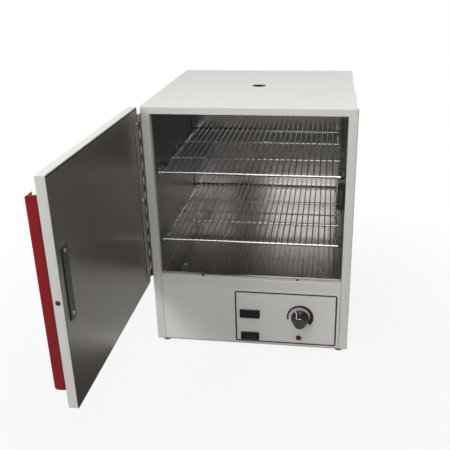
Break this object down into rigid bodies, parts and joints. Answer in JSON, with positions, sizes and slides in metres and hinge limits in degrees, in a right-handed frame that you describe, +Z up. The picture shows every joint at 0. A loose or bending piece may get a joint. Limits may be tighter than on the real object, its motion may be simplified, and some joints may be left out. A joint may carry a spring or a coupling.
{
  "type": "contrast media warmer",
  "caption": "Bench-top heated cabinet with a stainless chamber, wire shelves, a side-hinged door with a red pull channel, and a thermostat panel below.",
  "frame": {"origin": "on the bench under the middle of the open warmer's outline, which lies on the plane of the cabinet's front face, 15.25 mm left of the cabinet's middle plane", "axes": "+Z up, +Y to the back of the cabinet, +X to its right as seen from the front"},
  "size_m": [0.3676, 0.6706, 0.432],
  "materials": {
    "cabinet_paint": "off-white powder coat, fine texture, satin",
    "panel_film": "printed light grey film with a maroon frame and dial arc",
    "stainless": "brushed stainless sheet",
    "hinge_steel": "rolled stainless strip",
    "bright_wire": "bright plated round wire",
    "clip_steel": "bent stainless strip",
    "zinc_sheet": "zinc-plated sheet",
    "screw_steel": "plated screw heads",
    "dark_screw": "blackened steel",
    "red_enamel": "glossy red enamel",
    "black_plastic": "black moulded plastic",
    "spun_aluminium": "spun disc with fine rings",
    "pointer_white": "white line",
    "display_glass": "dark window",
    "lamp_red": "dark red translucent lens",
    "lamp_ring": "dark ring",
    "foot_rubber": "black rubber",
    "glass_fibre": "glass-fibre pad",
    "heater_metal": "sheathed strip heater",
    "copper": "copper capillary and bulb",
    "terminal_plastic": "pale moulded block",
    "inlet_brass": "plated brass pins",
    "magnet_grey": "grey magnet with steel poles"
  },
  "bodies": {
    "cabinet": {"outer_wrapper": "cabinet_paint", "control_panel": "cabinet_paint", "back_panel": "cabinet_paint", "panel_overlay": "panel_film", "chamber_liner": "stainless", "floor_pan": "stainless", "port_sleeve": "stainless", "hinge_cabinet_leaf": "hinge_steel", "hinge_pin": "hinge_steel", "lower_shelf_clips": "clip_steel", "upper_shelf_clips": "clip_steel", "base_pan": "zinc_sheet", "compartment_shield": "zinc_sheet", "foot_screws": "screw_steel", "floor_screws": "screw_steel", "back_screws": "screw_steel", "inlet_screws": "screw_steel", "hinge_leaf_screws_cabinet": "screw_steel", "thermostat_nut": "screw_steel", "sill_screws": "dark_screw", "display_bezel": "black_plastic", "display_module": "black_plastic", "rocker_housing": "black_plastic", "catch_body": "black_plastic", "power_inlet": "black_plastic", "safety_thermostat": "black_plastic", "thermostat_body": "black_plastic", "display_window": "display_glass", "pilot_lens": "lamp_red", "pilot_bezel": "lamp_ring", "rubber_feet": "foot_rubber", "side_insulation": "glass_fibre", "top_insulation": "glass_fibre", "back_insulation": "glass_fibre", "bottom_insulation": "glass_fibre", "heater_strips": "heater_metal", "capillary_tube": "copper", "thermostat_bulb": "copper", "terminal_block": "terminal_plastic", "inlet_pins": "inlet_brass", "catch_magnet": "magnet_grey"},
    "door": {"door_outer": "cabinet_paint", "door_inner_panel": "stainless", "door_insulation": "glass_fibre", "door_edge_plug": "black_plastic", "door_handle": "red_enamel", "handle_screws": "screw_steel", "strike_plate": "clip_steel", "strike_screws": "screw_steel", "hinge_door_leaf": "hinge_steel", "hinge_leaf_screws_door": "screw_steel"},
    "upper_shelf": {"upper_shelf": "bright_wire"},
    "lower_shelf": {"lower_shelf": "bright_wire"},
    "knob": {"knob_body": "black_plastic", "knob_cap": "spun_aluminium", "knob_pointer": "pointer_white", "thermostat_shaft": "screw_steel"},
    "rocker": {"rocker_paddle": "black_plastic"}
  },
  "joints": [
    {"name": "door_hinge", "type": "hinge", "parent": "cabinet", "child": "door", "pos_m": [-0.15325, -0.002, 0.278], "axis": [0, 0, -1], "range_deg": [-90, 90]},
    {"name": "upper_shelf_slide", "type": "slide", "parent": "cabinet", "child": "upper_shelf", "axis": [0, -1, 0], "range_m": [0, 0.25]},
    {"name": "lower_shelf_slide", "type": "slide", "parent": "cabinet", "child": "lower_shelf", "axis": [0, -1, 0], "range_m": [0, 0.25]},
    {"name": "knob_turn", "type": "hinge", "parent": "cabinet", "child": "knob", "pos_m": [0.10205, -0.0036, 0.0676], "axis": [0, -1, 0], "range_deg": [-165, 75]},
    {"name": "power_rocker", "type": "hinge", "parent": "cabinet", "child": "rocker", "pos_m": [0.01485, 0.0034, 0.0246], "axis": [0, 0, 1], "range_deg": [0, 14]}
  ]
}
